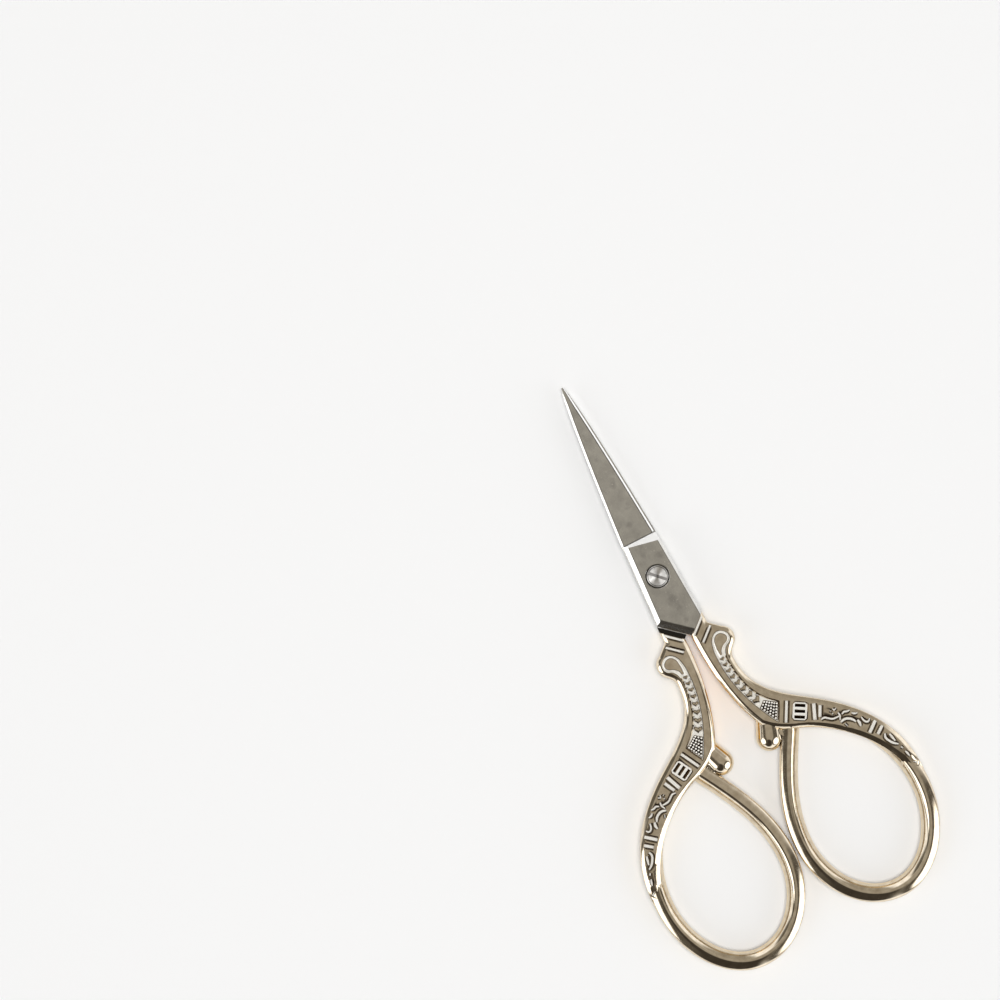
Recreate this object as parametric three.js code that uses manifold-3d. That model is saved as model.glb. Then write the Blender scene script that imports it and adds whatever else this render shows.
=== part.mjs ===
// Embroidery scissors: two crossed halves with ornamental finger bows, turning on one slotted screw.
// Millimetres, +Z up. The pair lies closed and flat on z = 0, with its tips along +Y.
// The pivot axis is at x = y = 0.
// The upper half has its handle at +X. The lower half is the same forging turned over about the Y axis.
import * as THREE from "three";
import { ConvexGeometry } from "three/addons/geometries/ConvexGeometry.js";
import { mergeVertices } from "three/addons/utils/BufferGeometryUtils.js";
import Module from "manifold-3d";

// Thickness of the pair, and the fits between its pieces
const thickness = 3.6;
const partingGap = 0.06;
const joinGap = 0.02;
const runningFit = 0.05;
const headFit = 0.1;

// Blade: reaches are measured from the pivot axis
const bladeReach = 31.9;
const bladeRootWidth = 5.7;
const bladeTipWidth = 0.3;
const bladeRootThickness = 1.3;
const bladeTipThickness = 0.5;
const bladeBelly = 0.72;
const spineChamfer = 0.65;
const edgeSetback = 0.6;
const edgeThickness = 0.14;
const bladeStations = 7;

// Pivot block: the flat that carries the screw, from the step behind the blade back to the slanted shoulder
const stepReach = 6.3;
const blockFrontWidth = 5.6;
const blockEdgeWidth = 0.8;
const blockEdgeDepth = 0.5;
const blockEndReach = 6.2;
const shoulderWidth = 7.1;
const shoulderReach = 7.8;
const shoulderSlant = 2.6;

// Shank: a plate with a scroll on its outer side, which forks into the finger bow
const handleGap = 1.1;
const scrollRadius = 1.9;
const scrollAcross = 4.5;
const scrollReach = 12.85;
const scrollTop = THREE.MathUtils.degToRad(68);
const scrollFoot = THREE.MathUtils.degToRad(-50);
const notchReach = 9.6;
const waistAcross = 4.7;
const waistReach = 16.1;
const forkAcross = 3.85;
const forkReach = 27.1;
const plateEdgeWidth = 0.75;
const plateEdgeDepth = 0.6;

// How far the shank's curves run straight before they bend, as shares of each stretch
const gapStraight = 0.6;
const waistStraight = 0.47;
const turnStraight = 0.78;

// Finger bow: a rounded bar, with the plate running out along its outer side
const bowGap = 0.3;
const bowWidth = 22.75;
const bowLength = 32.9;
const barWidth = 2.6;
const barHeight = 2.9;

// Spur: the knob beside the fork
const spurAcross = 2.15;
const spurRadius = 1.75;
const spurDrop = 2.65;
const spurNeckRadius = 1;

// Pivot screw
const screwRadius = 1;
const tailChamfer = 0.15;
const headRadius = 1.55;
const headDepth = 0.55;
const headDome = 0.25;
const slotWidth = 0.45;
const slotDepth = 0.45;
const slotAngle = THREE.MathUtils.degToRad(-42);

// Facets of the round forms
const curveSegments = 7;
const edgeSegments = 3;
const barSegments = 6;
const barSteps = 64;
const spurSides = 16;
const screwSides = 48;
const domeSteps = 5;

const parting = thickness / 2;
const clearOfAll = 4 * (bladeReach + forkReach + bowLength);

const steel = new THREE.MeshStandardMaterial({ color: 0xb9b4a9, metalness: 1, roughness: 0.24 });
const gold = new THREE.MeshStandardMaterial({ color: 0xd9bd84, metalness: 1, roughness: 0.2 });
const brightSteel = new THREE.MeshStandardMaterial({ color: 0xcfcbc2, metalness: 1, roughness: 0.3 });

const wasm = await Module();
wasm.setup();

// A closed geometry as a solid that can be joined and cut
function solid(geometry) {
  const bare = geometry.clone();
  bare.deleteAttribute("normal");
  bare.deleteAttribute("uv");
  const merged = mergeVertices(bare, 1e-4);
  const vertProperties = merged.attributes.position.array;
  const triVerts = new Uint32Array(merged.index.array);
  return new wasm.Manifold(new wasm.Mesh({ numProp: 3, vertProperties, triVerts }));
}

// A solid as a named mesh
function piece(name, body, material) {
  const { vertProperties, numProp, triVerts } = body.getMesh();
  const geometry = new THREE.BufferGeometry();
  geometry.setAttribute("position", new THREE.BufferAttribute(vertProperties, numProp));
  geometry.setIndex(new THREE.BufferAttribute(triVerts, 1));
  const mesh = new THREE.Mesh(geometry, material);
  mesh.name = name;
  return mesh;
}

// An outline made solid across the middle plane, with rounded edges inside the outline
function roundedPlate(outline, height, edgeWidth, edgeDepth) {
  const geometry = new THREE.ExtrudeGeometry(outline, {
    depth: height - 2 * edgeDepth,
    curveSegments,
    bevelThickness: edgeDepth,
    bevelSize: edgeWidth,
    bevelOffset: -edgeWidth,
    bevelSegments: edgeSegments,
  });
  return solid(geometry.translate(0, 0, parting - height / 2 + edgeDepth));
}

// An upright cylinder on the pivot axis
function pivotCylinder(radius, bottom, top) {
  const geometry = new THREE.CylinderGeometry(radius, radius, top - bottom, screwSides);
  return solid(geometry.rotateX(Math.PI / 2).translate(0, 0, (bottom + top) / 2));
}

const point = (x, y) => new THREE.Vector2(x, y);

// A place on the middle line of the bow's bar, as shares of that line's width and length
function onBow(across, along) {
  const x = (bowGap + barWidth) / 2 + across * (bowWidth - barWidth);
  return point(x, -forkReach - along * (bowLength - barWidth / 2));
}

// The slanted shoulder line, where the bare steel ends and the plated handle starts
const shoulderInner = point(handleGap / 2, -shoulderReach - shoulderSlant);
const shoulderOuter = point(shoulderWidth / 2, -shoulderReach);

// All that lies on one side of the shoulder line, half the join's gap past it
function pastShoulder(towardsBlade) {
  const slant = shoulderOuter.clone().sub(shoulderInner).angle();
  const box = new THREE.BoxGeometry(clearOfAll, clearOfAll, clearOfAll);
  box.translate(0, (towardsBlade ? 1 : -1) * (clearOfAll - joinGap) * 0.5, 0).rotateZ(slant);
  return solid(box.translate(shoulderInner.x, shoulderInner.y, 0));
}

// The blade's section at a share of its length: spine at -X, cutting edge at +X, flat inner face below
function bladeSection(along) {
  const narrowing = Math.pow(1 - along, bladeBelly);
  const spine = THREE.MathUtils.lerp(bladeTipWidth, bladeRootWidth, narrowing) / 2;
  const edge = spine - edgeSetback * (1 - along * along);
  const ridge = Math.min(spineChamfer, spine) - spine;
  const depth = THREE.MathUtils.lerp(bladeRootThickness, bladeTipThickness, along);
  return { spine, edge, ridge, depth };
}

// The hull of the blade's sections, which starts inside the pivot block
function blade(foot) {
  const corners = [];
  const addSection = (along, y) => {
    const { spine, edge, ridge, depth } = bladeSection(along);
    corners.push(new THREE.Vector3(-spine, y, foot));
    corners.push(new THREE.Vector3(-spine, y, foot + depth / 2));
    corners.push(new THREE.Vector3(ridge, y, foot + depth));
    corners.push(new THREE.Vector3(edge, y, foot + edgeThickness));
    corners.push(new THREE.Vector3(edge, y, foot));
  };
  addSection(0, stepReach / 2);
  for (let i = 0; i <= bladeStations; i += 1) {
    const along = i / bladeStations;
    addSection(along, THREE.MathUtils.lerp(stepReach, bladeReach, along));
  }
  return solid(new ConvexGeometry(corners));
}

// What is ground away in front of the pivot block, up a 45 degree ramp that leans with the blade's face
function stepCut(foot) {
  const rise = 4 * thickness;
  const { edge, ridge, depth } = bladeSection(0);
  const lean = (edgeThickness - depth) / (edge - ridge);
  const corners = [];
  for (const x of [-shoulderWidth, shoulderWidth]) {
    const face = foot + depth + lean * (x - ridge);
    corners.push(new THREE.Vector3(x, stepReach, face));
    corners.push(new THREE.Vector3(x, bladeReach, face));
    corners.push(new THREE.Vector3(x, bladeReach, face + rise));
    corners.push(new THREE.Vector3(x, stepReach - rise, face + rise));
  }
  return solid(new ConvexGeometry(corners));
}

// The steel part of one forging: blade and pivot block, above the parting plane
function bladeBody(bore) {
  const foot = parting + partingGap / 2;
  const endShare = (stepReach + blockEndReach) / (stepReach + shoulderReach);
  const outline = new THREE.Shape();
  outline.moveTo(-blockFrontWidth / 2, stepReach);
  outline.lineTo(-THREE.MathUtils.lerp(blockFrontWidth, shoulderWidth, endShare) / 2, -blockEndReach);
  outline.lineTo(shoulderInner.x, shoulderInner.y);
  outline.lineTo(shoulderInner.x, shoulderInner.y - shoulderWidth);
  outline.lineTo(shoulderOuter.x, shoulderInner.y - shoulderWidth);
  outline.lineTo(shoulderOuter.x, shoulderOuter.y);
  outline.lineTo(blockFrontWidth / 2, stepReach);
  const below = new THREE.BoxGeometry(clearOfAll, clearOfAll, clearOfAll);
  return roundedPlate(outline, thickness, blockEdgeWidth, blockEdgeDepth)
    .subtract(pastShoulder(false))
    .subtract(solid(below.translate(0, 0, foot - clearOfAll / 2)))
    .subtract(stepCut(foot))
    .add(blade(foot))
    .subtract(bore);
}

// Curves of an outline, with their leads and ends as points
function bend(outline, lead, end) {
  outline.quadraticCurveTo(lead.x, lead.y, end.x, end.y);
}

function sweep(outline, lead, tail, end) {
  outline.bezierCurveTo(lead.x, lead.y, tail.x, tail.y, end.x, end.y);
}

// The shank's plate, which runs out along the outer side of the bow
function shankPlate() {
  const overBar = point(barWidth / 2, 0);
  const runOut = onBow(1, 0.52);
  const turn = onBow(0.52, -0.02);
  const turnLead = onBow(0.77, 0.09);
  const apex = onBow(0.345, 0.092);
  const fork = point(forkAcross, -forkReach);
  const waist = point(waistAcross, -waistReach);
  const scroll = point(scrollAcross, -scrollReach);
  const scrollEnd = point(scrollRadius, 0).rotateAround(point(0, 0), scrollFoot).add(scroll);
  const outline = new THREE.Shape();
  // Gap side, down to the fork
  outline.moveTo(shoulderInner.x, shoulderOuter.y);
  outline.lineTo(shoulderInner.x, shoulderInner.y);
  bend(outline, point(shoulderInner.x, THREE.MathUtils.lerp(shoulderInner.y, fork.y, gapStraight)), fork);
  // Ridge over the spur, then the finger hole and the round end
  bend(outline, onBow(0.226, 0.062), apex);
  sweep(outline, onBow(0.593, 0.142), onBow(0.916, 0.329), runOut.clone().sub(overBar));
  outline.absarc(runOut.x, runOut.y, overBar.x, Math.PI, 2 * Math.PI, false);
  // Outer side, back up to the waist, the scroll and the shoulder
  sweep(outline, onBow(1, 0.25).add(overBar), turnLead, turn);
  const waistTail = point(waist.x, THREE.MathUtils.lerp(waist.y, fork.y, waistStraight));
  sweep(outline, turn.clone().lerp(turnLead, -turnStraight), waistTail, waist);
  bend(outline, point(waist.x, (waist.y + scrollEnd.y) / 2), scrollEnd);
  outline.absarc(scroll.x, scroll.y, scrollRadius, scrollFoot, scrollTop, false);
  outline.lineTo(shoulderOuter.x, -notchReach);
  outline.lineTo(shoulderOuter.x, shoulderOuter.y + shoulderSlant);
  return roundedPlate(outline, thickness, plateEdgeWidth, plateEdgeDepth);
}

// The bow's bar: from under the fork, round the finger hole, and up under the plate
function bowBar() {
  const route = [
    [onBow(0.305, 0.076), onBow(0.132, 0.266), onBow(0, 0.418), onBow(0, 0.608)],
    [onBow(0, 0.608), onBow(0, 0.79), onBow(0.26, 1), onBow(0.504, 1)],
    [onBow(0.504, 1), onBow(0.767, 1), onBow(1, 0.807), onBow(1, 0.582)],
    [onBow(1, 0.582), onBow(1, 0.377), onBow(0.821, 0.193), onBow(0.524, 0.06)],
  ];
  const path = new THREE.CurvePath();
  for (const stretch of route) {
    path.add(new THREE.CubicBezierCurve3(...stretch.map((p) => new THREE.Vector3(p.x, p.y, parting))));
  }
  const section = new THREE.Shape();
  section.absellipse(0, 0, barHeight / 2, barWidth / 2, 0, 2 * Math.PI);
  return solid(
    new THREE.ExtrudeGeometry(section, { steps: barSteps, curveSegments: barSegments, extrudePath: path }),
  );
}

// The spur: a ball beside the fork, drawn out towards the bow's inner leg and the end of the gap side
function spur() {
  const leg = onBow(0.27, 0.08);
  const balls = [
    { x: spurAcross + spurRadius, y: -forkReach - spurDrop, radius: spurRadius },
    { x: leg.x, y: leg.y, radius: barWidth / 2 },
    { x: forkAcross + spurNeckRadius, y: -forkReach, radius: spurNeckRadius },
  ];
  const skin = [];
  for (const { x, y, radius } of balls) {
    const ball = new THREE.SphereGeometry(radius, spurSides, spurSides / 2).translate(x, y, parting);
    const { position } = ball.attributes;
    for (let i = 0; i < position.count; i += 1) {
      skin.push(new THREE.Vector3().fromBufferAttribute(position, i));
    }
  }
  return solid(new ConvexGeometry(skin));
}

// The plated part of one forging: shank, spur and finger bow
function handleBody() {
  return shankPlate().subtract(pastShoulder(true)).add(bowBar()).add(spur());
}

// The screw: a domed slotted head, a plain shank and a chamfered end flush with the underside
function screwBody() {
  const seat = thickness - headDepth + partingGap / 2;
  const profile = [
    point(0, 0),
    point(screwRadius - tailChamfer, 0),
    point(screwRadius, tailChamfer),
    point(screwRadius, seat),
    point(headRadius, seat),
  ];
  for (let i = 0; i <= domeSteps; i += 1) {
    const turn = ((i / domeSteps) * Math.PI) / 2;
    profile.push(point(headRadius * Math.cos(turn), thickness + headDome * Math.sin(turn)));
  }
  profile[profile.length - 1].x = 0;
  const turned = solid(new THREE.LatheGeometry(profile, screwSides).rotateX(Math.PI / 2));
  const slot = new THREE.BoxGeometry(4 * headRadius, slotWidth, 2 * slotDepth);
  return turned.subtract(solid(slot.rotateZ(slotAngle).translate(0, 0, thickness + headDome)));
}

const throughBore = pivotCylinder(screwRadius + runningFit, -thickness, 2 * thickness);
const counterbore = pivotCylinder(headRadius + headFit, thickness - headDepth, 2 * thickness);
const tappedBore = pivotCylinder(screwRadius + joinGap, -thickness, 2 * thickness);

const upperHalf = new THREE.Group();
upperHalf.add(piece("upper_blade", bladeBody(throughBore.add(counterbore)), steel));
upperHalf.add(piece("upper_handle", handleBody(), gold));

const lowerHalf = new THREE.Group();
lowerHalf.add(piece("lower_blade", bladeBody(tappedBore), steel));
lowerHalf.add(piece("lower_handle", handleBody(), gold));
lowerHalf.rotation.y = Math.PI;
lowerHalf.position.z = thickness;

const scissors = new THREE.Group();
scissors.add(upperHalf, lowerHalf, piece("pivot_screw", screwBody(), brightSteel));

export default scissors;
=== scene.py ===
import math
import bmesh
import bpy
from mathutils import Matrix, Vector


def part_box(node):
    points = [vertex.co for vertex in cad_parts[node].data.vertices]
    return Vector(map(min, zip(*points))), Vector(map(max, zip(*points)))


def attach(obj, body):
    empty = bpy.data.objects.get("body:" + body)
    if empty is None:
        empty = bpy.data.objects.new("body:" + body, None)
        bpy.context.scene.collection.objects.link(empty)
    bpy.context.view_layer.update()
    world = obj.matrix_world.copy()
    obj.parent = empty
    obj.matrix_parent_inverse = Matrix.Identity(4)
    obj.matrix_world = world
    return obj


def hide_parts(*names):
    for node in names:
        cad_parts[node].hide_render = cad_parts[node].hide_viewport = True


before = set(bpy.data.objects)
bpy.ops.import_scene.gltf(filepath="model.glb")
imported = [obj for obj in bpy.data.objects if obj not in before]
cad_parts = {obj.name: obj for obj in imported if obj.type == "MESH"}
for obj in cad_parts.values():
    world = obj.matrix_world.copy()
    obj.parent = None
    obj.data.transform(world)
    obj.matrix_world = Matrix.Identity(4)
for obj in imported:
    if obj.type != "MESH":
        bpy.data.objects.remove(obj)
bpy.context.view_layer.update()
mm = 0.001
handleLow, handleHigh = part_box("upper_handle")
half = (handleHigh[2] - handleLow[2]) / 2 / mm  # half the pair's thickness; z is 0 half-way up while shaping
print("frame loaded with", len(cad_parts), "nodes")

# Camera: straight down, with the pair leaning to the left as it lies on the table
shot = {
    "aim": (-16.04, 21.0),  # the picture's middle, mm from the pivot
    "field": 151.5,  # picture width at half the pair's height, mm
    "lean": 26.8,  # degrees left of upright
    "lens": 120.0,
    "sensor": 36.0,
}


def addCamera():
    rise = shot["field"] * shot["lens"] / shot["sensor"] + half
    place = Vector((*shot["aim"], rise)) * mm
    bpy.ops.object.camera_add(location=place, rotation=(0, 0, -math.radians(shot["lean"])))
    camera = bpy.context.object
    camera.name = "tableCamera"
    camera.data.lens = shot["lens"]
    camera.data.sensor_width = shot["sensor"]
    camera.data.clip_start = 0.01
    camera.data.clip_end = 50
    bpy.context.scene.camera = camera


def towards(compass, height):  # direction from a compass on the picture: 0 right, 90 up, 180 left
    around = math.radians(compass - shot["lean"])
    up = math.radians(height)
    return Vector((math.cos(around) * math.cos(up), math.sin(around) * math.cos(up), math.sin(up)))


# Nodes, for the studio and for the finishes
def newNode(tree, kind, place, **values):
    node = tree.nodes.new(kind)
    node.location = place
    for name, value in values.items():
        setattr(node, name, value)
    return node


def noise(tree, source, place, scale, detail=2.0, stretch=None):
    if stretch:
        pull = newNode(tree, "ShaderNodeMapping", (place[0] - 200, place[1]))
        pull.inputs["Scale"].default_value = stretch
        tree.links.new(source, pull.inputs["Vector"])
        source = pull.outputs["Vector"]
    node = newNode(tree, "ShaderNodeTexNoise", place)
    node.inputs["Scale"].default_value = scale
    node.inputs["Detail"].default_value = detail
    tree.links.new(source, node.inputs["Vector"])
    return node.outputs["Fac"]


def spread(tree, source, place, low, high, fromLow=0.0, fromHigh=1.0, how="LINEAR"):
    node = newNode(tree, "ShaderNodeMapRange", place, interpolation_type=how)
    node.inputs["From Min"].default_value = fromLow
    node.inputs["From Max"].default_value = fromHigh
    node.inputs["To Min"].default_value = low
    node.inputs["To Max"].default_value = high
    tree.links.new(source, node.inputs["Value"])
    return node.outputs["Result"]


def blend(tree, factor, node, sockets, values):  # each value is a number, a colour or another node's output
    tree.links.new(factor, node.inputs["Factor"])
    for socket, value in zip(sockets, values):
        if isinstance(value, (float, tuple)):
            node.inputs[socket].default_value = value
        else:
            tree.links.new(value, node.inputs[socket])


def blendColour(tree, factor, place, a, b):
    node = newNode(tree, "ShaderNodeMix", place, data_type="RGBA")
    blend(tree, factor, node, (6, 7), (a, b))
    return node.outputs[2]


def blendValue(tree, factor, place, a, b):
    node = newNode(tree, "ShaderNodeMix", place, data_type="FLOAT")
    blend(tree, factor, node, (2, 3), (a, b))
    return node.outputs[0]


def bump(tree, height, place, depth, under=None):  # depth in metres
    node = newNode(tree, "ShaderNodeBump", place)
    node.inputs["Strength"].default_value = 1
    node.inputs["Distance"].default_value = depth
    tree.links.new(height, node.inputs["Height"])
    if under:
        tree.links.new(under, node.inputs["Normal"])
    return node.outputs["Normal"]


# Studio: a dim ceiling over bright walls, with grey and dark patches and two soft boxes on them
studio = {
    "ceiling": (0.45, 0.425, 0.38, 1),
    "wall": (1.3, 1.32, 1.36, 1),
    "ceilingFrom": 0.8,  # sine of the height where the ceiling is reached
    "wallTo": 0.42,
    "patches": [  # compass, height, full within, gone past, colour
        (75, 22, 22, 33, (0.40, 0.375, 0.33, 1)),
        (2, 30, 9, 17, (0.42, 0.39, 0.35, 1)),
        (155, 24, 12, 22, (0.16, 0.15, 0.13, 1)),
        (262, 40, 20, 30, (0.06, 0.053, 0.045, 1)),
        (262, 60, 16, 26, (0.06, 0.053, 0.045, 1)),
        (208, 36, 27, 34, (0.12, 0.11, 0.095, 1)),
        (338, 34, 29, 36, (0.12, 0.11, 0.095, 1)),
        (208, 30, 18, 23, (2.7, 2.72, 2.75, 1)),
        (338, 28, 21, 27, (2.5, 2.52, 2.55, 1)),
    ],
    "dim": 0.6,  # share of that light which reaches matt surfaces
    "fillPower": 8.6,
    "fillSize": 0.52,
    "fillHeight": 1.2,
}

table = {
    "size": 8,  # metres
    "under": 0.00001,  # just below the pair, metres
    "colour": (0.93, 0.93, 0.93, 1),
    "roughness": 0.9,
    "specular": 0.1,
}


def buildWorld():
    world = bpy.data.worlds.new("studio")
    world.use_nodes = True
    bpy.context.scene.world = world
    tree = world.node_tree
    tree.nodes.clear()
    out = newNode(tree, "ShaderNodeOutputWorld", (1400, 0))
    glow = newNode(tree, "ShaderNodeBackground", (1200, 0))
    tree.links.new(glow.outputs[0], out.inputs[0])
    way = newNode(tree, "ShaderNodeTexCoord", (-600, 0)).outputs["Generated"]
    split = newNode(tree, "ShaderNodeSeparateXYZ", (-400, 200))
    tree.links.new(way, split.inputs[0])
    band = (studio["wallTo"], studio["ceilingFrom"])
    rise = spread(tree, split.outputs["Z"], (-200, 200), 0, 1, *band, "SMOOTHSTEP")
    colour = blendColour(tree, rise, (0, 200), studio["wall"], studio["ceiling"])
    for i, (compass, height, full, gone, tint) in enumerate(studio["patches"]):
        dot = newNode(tree, "ShaderNodeVectorMath", (-200, -200 * i), operation="DOT_PRODUCT")
        dot.inputs[1].default_value = towards(compass, height)
        tree.links.new(way, dot.inputs[0])
        band = [math.cos(math.radians(angle)) for angle in (gone, full)]
        fade = spread(tree, dot.outputs["Value"], (0, -200 * i), 0, 1, *band, "SMOOTHSTEP")
        colour = blendColour(tree, fade, (200 + 200 * i, 0), colour, tint)
    tree.links.new(colour, glow.inputs["Color"])
    glossy = newNode(tree, "ShaderNodeLightPath", (800, -300)).outputs["Is Glossy Ray"]
    tree.links.new(spread(tree, glossy, (1000, -200), studio["dim"], 1), glow.inputs["Strength"])


def addFill():
    bpy.ops.object.light_add(type="AREA", location=(0, 0, studio["fillHeight"]))
    lamp = bpy.context.object
    lamp.name = "overheadFill"
    lamp.data.shape = "DISK"
    lamp.data.size = studio["fillSize"]
    lamp.data.energy = studio["fillPower"]
    lamp.visible_glossy = False


def buildFloor():
    bpy.ops.mesh.primitive_plane_add(size=table["size"], location=(0, 0, -table["under"]))
    floor = bpy.context.object
    floor.name = "paleTable"
    mat = bpy.data.materials.new("paleBoard")
    mat.use_nodes = True
    skin = mat.node_tree.nodes["Principled BSDF"]
    skin.inputs["Base Color"].default_value = table["colour"]
    skin.inputs["Roughness"].default_value = table["roughness"]
    skin.inputs["Specular IOR Level"].default_value = table["specular"]
    floor.data.materials.append(mat)


# Bench: the few moves that every piece is made with
bench = {
    "weld": 0.002,  # points of a drawn outline this close are one
    "seam": 0.00002,  # and so are points of a finished mesh
    "straight": 0.8,  # corners of an outline flatter than this are dropped, degrees
}


def pick(piece):
    bpy.ops.object.select_all(action="DESELECT")
    piece.select_set(True)
    bpy.context.view_layer.objects.active = piece


def openEdit(piece, faces=None):  # all of the mesh, or only the faces that pass a test
    pick(piece)
    bpy.context.tool_settings.mesh_select_mode = (False, False, True)
    bpy.ops.object.mode_set(mode="EDIT")
    if faces is None:
        bpy.ops.mesh.select_all(action="SELECT")
        return
    bpy.ops.mesh.select_all(action="DESELECT")
    bpy.ops.object.mode_set(mode="OBJECT")
    for face in piece.data.polygons:
        face.select = faces(face)
    bpy.ops.object.mode_set(mode="EDIT")


def closeEdit():
    bpy.ops.object.mode_set(mode="OBJECT")


def closeOutwards():  # back to object mode, with every face pointing out
    bpy.ops.mesh.select_all(action="SELECT")
    bpy.ops.mesh.normals_make_consistent(inside=False)
    closeEdit()


def mergeUp(piece, reach=bench["seam"]):
    openEdit(piece)
    bpy.ops.mesh.remove_doubles(threshold=reach)
    closeOutwards()


def place(piece, shift=(0, 0, 0), turn=(0, 0, 0), size=(1, 1, 1)):
    pick(piece)
    piece.location = shift
    piece.rotation_euler = turn
    piece.scale = size
    bpy.ops.object.transform_apply(location=True, rotation=True, scale=True)


def combine(piece, tool, how):
    pick(piece)
    step = piece.modifiers.new("combine", "BOOLEAN")
    step.operation = how
    step.solver = "MANIFOLD"
    step.object = tool
    bpy.ops.object.modifier_apply(modifier=step.name)
    bpy.data.objects.remove(tool)


def trim(spot, outwards, keepBelow=True):  # cuts the open mesh flat at a place, and closes the cut
    bpy.ops.mesh.select_all(action="SELECT")
    bpy.ops.mesh.bisect(plane_co=spot, plane_no=outwards, use_fill=True,
                        clear_outer=keepBelow, clear_inner=not keepBelow)


def joined(pieces):  # several loose pieces as one mesh
    bpy.ops.object.select_all(action="DESELECT")
    for piece in pieces:
        piece.select_set(True)
    bpy.context.view_layer.objects.active = pieces[0]
    bpy.ops.object.join()
    bpy.ops.object.transform_apply(location=True, rotation=True, scale=True)
    return bpy.context.object


def addBalls(spots, segments, rings):  # each one's place and radius
    balls = []
    for spot, radius in spots:
        bpy.ops.mesh.primitive_uv_sphere_add(
            segments=segments, ring_count=rings, radius=radius, location=spot)
        balls.append(bpy.context.object)
    return joined(balls)


def mark(piece, value):  # how each face is painted: 2 an amber reflection tint, 1 satin with a painted highlight, 0 polished, -1 painted shade, None as it was
    layer = piece.data.attributes.get("struck") or piece.data.attributes.new("struck", "FLOAT", "FACE")
    for face, spot in zip(piece.data.polygons, layer.data):
        fresh = value(face) if callable(value) else value
        spot.value = spot.value if fresh is None else fresh
    return piece


def layCurve(name, knots, closed, steps, handles="AUTO"):  # knots are points, or (point, lead in, lead out)
    bpy.ops.object.select_all(action="DESELECT")
    bpy.ops.curve.primitive_bezier_curve_add(location=(0, 0, 0))
    wire = bpy.context.object
    wire.name = name
    wire.data.dimensions = "3D"
    wire.data.twist_mode = "Z_UP"
    spline = wire.data.splines[0]
    spline.bezier_points.add(len(knots) - 2)
    spline.use_cyclic_u = closed
    spline.resolution_u = steps
    for knot, spot in zip(spline.bezier_points, knots):
        knot.handle_left_type = "FREE"
        knot.handle_right_type = "FREE"
        if handles == "FREE":
            knot.co, knot.handle_left, knot.handle_right = [Vector((*p, 0)) for p in spot]
        else:
            knot.co = Vector((*spot, 0)) if len(spot) == 2 else Vector(spot)
    for knot in spline.bezier_points:
        knot.handle_left_type = handles
        knot.handle_right_type = handles
    return wire


def fillOutline(wire, straight=0):  # an outline made a filled mesh, left open in edit mode
    pick(wire)
    bpy.ops.object.convert(target="MESH")
    bpy.context.tool_settings.mesh_select_mode = (True, False, False)
    bpy.ops.object.mode_set(mode="EDIT")
    bpy.ops.mesh.select_all(action="SELECT")
    bpy.ops.mesh.remove_doubles(threshold=bench["weld"])
    if straight:
        bpy.ops.mesh.dissolve_limited(angle_limit=math.radians(straight))
        bpy.ops.mesh.select_all(action="SELECT")
    bpy.ops.mesh.edge_face_add()
    return bpy.context.object


def raiseOutline(wire, wall, profile):  # a flat outline made solid: a wall, then steps inwards and up
    piece = fillOutline(wire, bench["straight"])
    bpy.ops.mesh.extrude_region_move(TRANSFORM_OT_translate={"value": (0, 0, wall)})
    closeOutwards()
    openEdit(piece, lambda face: face.normal.z > 0.9)
    for run, rise in profile:
        bpy.ops.mesh.inset(thickness=run, depth=rise, use_even_offset=True)
    closeEdit()
    return piece


def sweepSection(path, corners):  # a section drawn along a path, with its own up kept upright
    section = layCurve("section", corners, True, 1, "VECTOR")
    section.data.dimensions = "2D"
    section.data.fill_mode = "NONE"
    pick(path)
    path.data.bevel_mode = "OBJECT"
    path.data.bevel_object = section
    path.data.use_fill_caps = True
    bpy.ops.object.convert(target="MESH")
    piece = bpy.context.object
    bpy.data.objects.remove(section)
    mergeUp(piece)
    return piece


# Strokes: each is the lead, tail and end of one curved stretch
def line(start, end):
    return [(start.lerp(end, 1 / 3), start.lerp(end, 2 / 3), end)]


def bend(start, lead, end):
    return [(start.lerp(lead, 2 / 3), end.lerp(lead, 2 / 3), end)]


def arc(centre, radius, first, last, pieces=3):
    strokes = []
    turn = math.radians(last - first) / pieces
    pull = 4 / 3 * math.tan(turn / 4) * radius
    for i in range(pieces):
        a = math.radians(first) + i * turn
        b = a + turn
        start = centre + radius * Vector((math.cos(a), math.sin(a)))
        end = centre + radius * Vector((math.cos(b), math.sin(b)))
        lead = start + pull * Vector((-math.sin(a), math.cos(a)))
        tail = end - pull * Vector((-math.sin(b), math.cos(b)))
        strokes.append((lead, tail, end))
    return strokes


def knotsFrom(start, strokes, closed=True):
    knots = [[start, start, start]]
    for lead, tail, end in strokes:
        knots[-1][2] = lead
        knots.append([end, tail, end])
    if closed:
        last = knots.pop()
        knots[0][1] = last[1]
    return knots


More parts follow.
